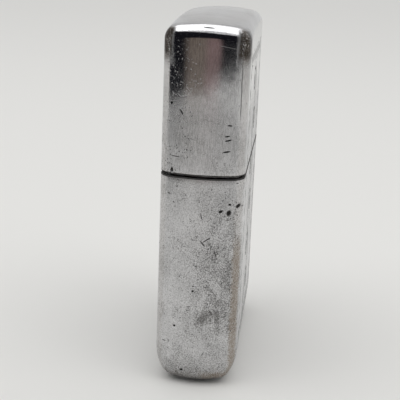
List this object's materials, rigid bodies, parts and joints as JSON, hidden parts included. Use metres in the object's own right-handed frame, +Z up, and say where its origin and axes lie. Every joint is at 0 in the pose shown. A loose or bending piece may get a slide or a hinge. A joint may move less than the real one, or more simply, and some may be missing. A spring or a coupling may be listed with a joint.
{
  "type": "flip-top petrol lighter",
  "caption": "Flip-top windproof petrol lighter: hinged chromed case and lid round an inner unit with chimney, wick, cam, striker wheel and sprung flint.",
  "frame": {"origin": "middle of the case's base, on the surface that the lighter stands on", "axes": "+Z up from the base to the lid, X across the width with the hinge at -X and the opening side at +X, Y through the thickness"},
  "size_m": [0.0377, 0.0126, 0.057],
  "materials": {
    "worn_chrome": "dull worn chrome plate with fine scratches and pits, brass showing at the edges",
    "insert_steel": "plain stamped steel, lightly brushed",
    "hard_steel": "dark hardened steel",
    "plain_brass": "turned brass, dulled",
    "flint_alloy": "dark sintered alloy",
    "cotton": "off-white cotton",
    "felt": "pressed felt"
  },
  "bodies": {
    "case": {"case_shell": "worn_chrome", "hinge_leaf_case": "insert_steel", "hinge_pin": "insert_steel"},
    "lid": {"lid_shell": "worn_chrome", "hinge_leaf_lid": "insert_steel"},
    "insert": {"insert_case": "insert_steel", "insert_deck": "insert_steel", "windscreen": "insert_steel", "wheel_axle": "insert_steel", "cam_rivet": "insert_steel", "cam_spring": "hard_steel", "flint_tube": "plain_brass", "wick": "cotton", "cotton_ball_1": "cotton", "cotton_ball_2": "cotton", "cotton_ball_3": "cotton", "cotton_ball_4": "cotton", "cotton_ball_5": "cotton", "felt_pad": "felt"},
    "striker": {"striker_wheel": "hard_steel"},
    "cam": {"cam_lever": "hard_steel"},
    "flint_stack": {"flint": "flint_alloy", "flint_plunger": "plain_brass"},
    "screw": {"flint_screw": "plain_brass", "flint_spring": "insert_steel"}
  },
  "joints": [
    {"name": "lid_hinge", "type": "hinge", "parent": "case", "child": "lid", "pos_m": [-0.0183, 0, 0.0339], "axis": [0, -1, 0], "range_deg": [0, 115]},
    {"name": "insert_lift", "type": "slide", "parent": "case", "child": "insert", "axis": [0, 0, 1], "range_m": [0, 0.001]},
    {"name": "cam_pivot", "type": "hinge", "parent": "insert", "child": "cam", "pos_m": [-0.0128, 0, 0.0394], "axis": [0, -1, 0], "range_deg": [0, 34.5]},
    {"name": "wheel_spin", "type": "hinge", "parent": "insert", "child": "striker", "pos_m": [0.0084, 0, 0.0416], "axis": [0, -1, 0], "continuous": true},
    {"name": "flint_feed", "type": "slide", "parent": "insert", "child": "flint_stack", "axis": [0, 0, 1], "range_m": [-0.0015, 0], "stiffness_N_per_m": 200, "springref_m": 0.004, "deforming": ["flint_spring"]},
    {"name": "flint_screw_turn", "type": "hinge", "parent": "insert", "child": "screw", "pos_m": [0.0084, 0, 0.005], "axis": [0, 0, -1], "range_deg": [0, 360]}
  ],
  "couplings": [
    {"joint": "cam_pivot", "follows": "lid_hinge", "ratio": 0.3}
  ]
}
